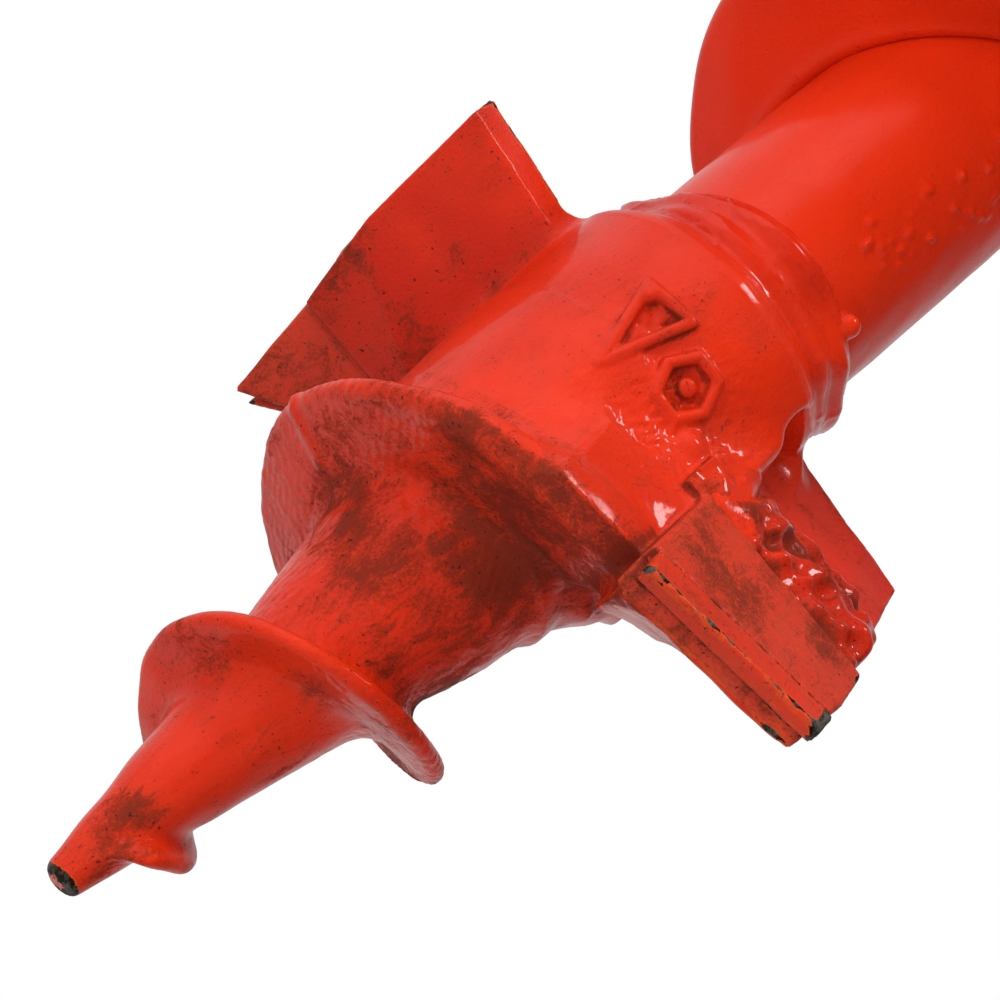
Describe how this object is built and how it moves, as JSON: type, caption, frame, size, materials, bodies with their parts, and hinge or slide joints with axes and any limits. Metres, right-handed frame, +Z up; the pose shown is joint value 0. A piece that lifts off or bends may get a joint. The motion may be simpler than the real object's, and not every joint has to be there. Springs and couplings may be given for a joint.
{
  "type": "soil auger",
  "caption": "Helical soil auger bit: a screw pilot point, two winged cutters on a cast hub, and a spiral carrying flight on a tube stem with a pinned drive socket.",
  "frame": {"origin": "centre of the drive socket's mouth, on the bit's axis", "axes": "+Z up the bit's axis, out of the drive socket, with the pilot tip pointing down -Z; +X from the axis towards the drive pin's head, along one wing"},
  "size_m": [0.096, 0.096, 0.7],
  "materials": {
    "painted_casting": "thick gloss orange-red enamel over rough cast steel, brown grime in the corners",
    "painted_steel": "thick gloss orange-red enamel over rolled steel",
    "painted_weld": "gloss enamel over lumpy weld",
    "painted_cutter": "worn, grimy enamel, chipped at the edges",
    "hard_bar": "worn enamel with bare dark metal at the corner",
    "plated_steel": "dull zinc plate, scuffed",
    "polished_steel": "polished",
    "spring_steel": "oiled wire"
  },
  "bodies": {
    "auger": {"pilot_point": "painted_casting", "head_casting": "painted_casting", "wing_plate_right": "painted_casting", "wing_plate_left": "painted_casting", "cutter_plate_right": "painted_cutter", "cutter_plate_left": "painted_cutter", "wear_bar_right": "hard_bar", "wear_bar_left": "hard_bar", "cutter_weld_right": "painted_weld", "cutter_weld_left": "painted_weld", "hub_weld": "painted_weld", "tube": "painted_steel", "flight_lead_in": "painted_steel", "flight_turn_1": "painted_steel", "flight_turn_2": "painted_steel", "flight_turn_3": "painted_steel", "flight_turn_4": "painted_steel", "flight_turn_5": "painted_steel", "flight_welds": "painted_weld", "drive_socket": "painted_steel", "socket_weld": "painted_weld"},
    "drive_pin": {"drive_pin": "plated_steel", "detent_ball": "polished_steel", "detent_spring": "spring_steel"},
    "pull_ring": {"pull_ring": "plated_steel"}
  },
  "joints": [
    {"name": "drive_pin_slide", "type": "slide", "parent": "auger", "child": "drive_pin", "axis": [1, 0, 0], "range_m": [0, 0.045]},
    {"name": "pull_ring_swing", "type": "hinge", "parent": "drive_pin", "child": "pull_ring", "pos_m": [0.0265, 0, -0.025], "axis": [0, -1, 0], "range_deg": [-10, 165]}
  ]
}
